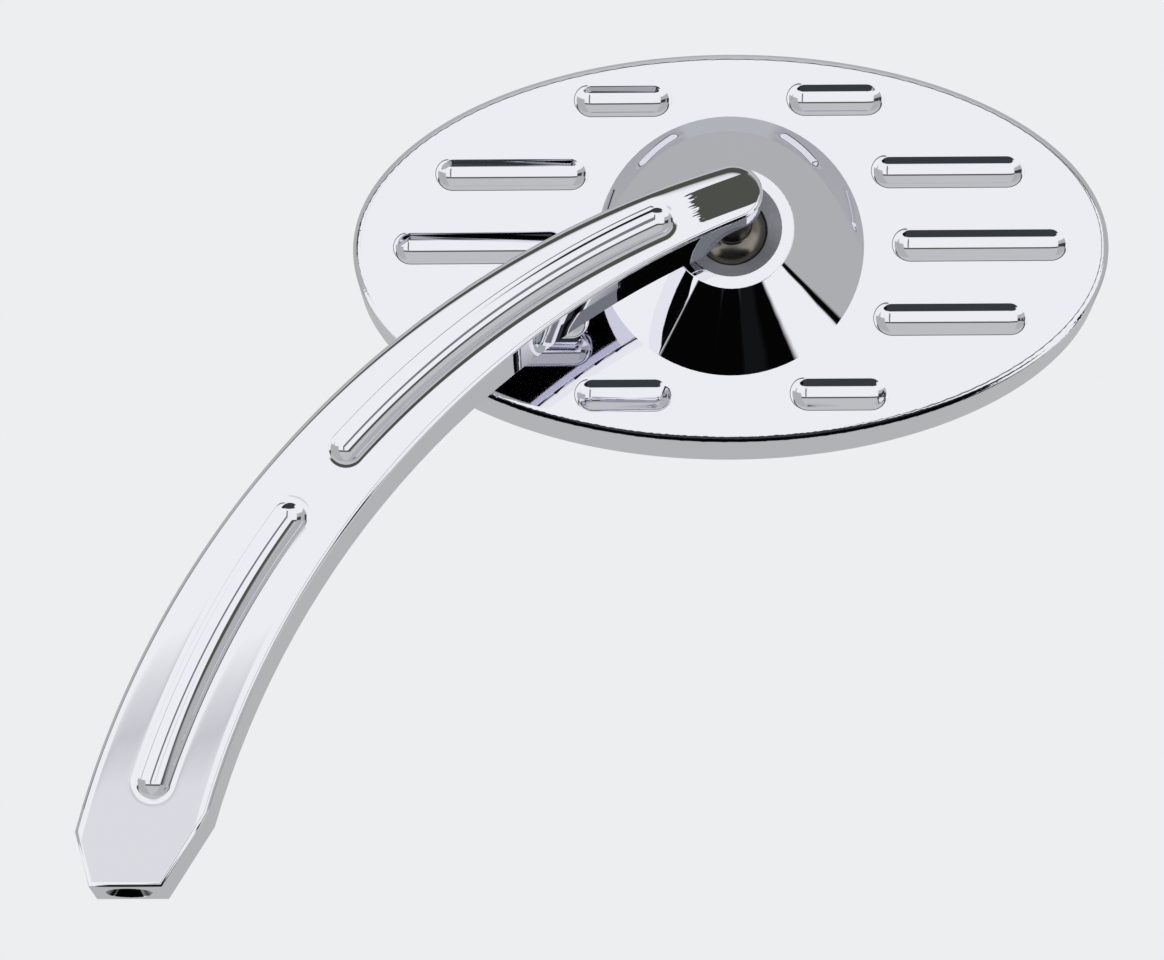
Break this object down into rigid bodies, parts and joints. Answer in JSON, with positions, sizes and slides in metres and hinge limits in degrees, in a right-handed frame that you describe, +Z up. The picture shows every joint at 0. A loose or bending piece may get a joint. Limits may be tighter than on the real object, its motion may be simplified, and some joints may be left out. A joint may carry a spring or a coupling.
{
  "type": "motorcycle mirror",
  "caption": "Oval handlebar mirror on a flat curved arm with milled grooves, held by a ball joint in a cone on the back of its head.",
  "frame": {"origin": "centre of the threaded hole's mouth, in the end face of the arm's foot", "axes": "+Z up along the threaded hole into the arm, +X out to the head, +Y towards the rider, the way the glass looks"},
  "size_m": [0.2008, 0.0552, 0.179],
  "materials": {
    "chrome_plate": "chrome plated, polished",
    "turned_steel": "turned",
    "spring_steel": "oiled",
    "acetal": "moulded",
    "foam_tape": "closed-cell foam",
    "silvered_glass": "polished"
  },
  "bodies": {
    "arm": {"mirror_arm": "chrome_plate"},
    "stud": {"ball_stud": "turned_steel"},
    "liner": {"ball_liner": "acetal"},
    "head": {"mirror_housing": "chrome_plate", "pressure_cup": "acetal", "disc_springs": "spring_steel", "retainer_plate": "turned_steel", "retainer_screws": "spring_steel", "glass_pad": "foam_tape", "mirror_glass": "silvered_glass"}
  },
  "joints": [
    {"name": "head_roll", "type": "hinge", "parent": "arm", "child": "stud", "pos_m": [0.1145, 0.0205, 0.1366], "axis": [0, 1, 0], "continuous": true},
    {"name": "head_tilt", "type": "hinge", "parent": "stud", "child": "liner", "pos_m": [0.1145, 0.0205, 0.1366], "axis": [1, 0, 0], "range_deg": [-20, 10]},
    {"name": "head_pan", "type": "hinge", "parent": "liner", "child": "head", "pos_m": [0.1145, 0.0205, 0.1366], "axis": [0, -0.0872, 0.9962], "range_deg": [-10, 10]}
  ]
}
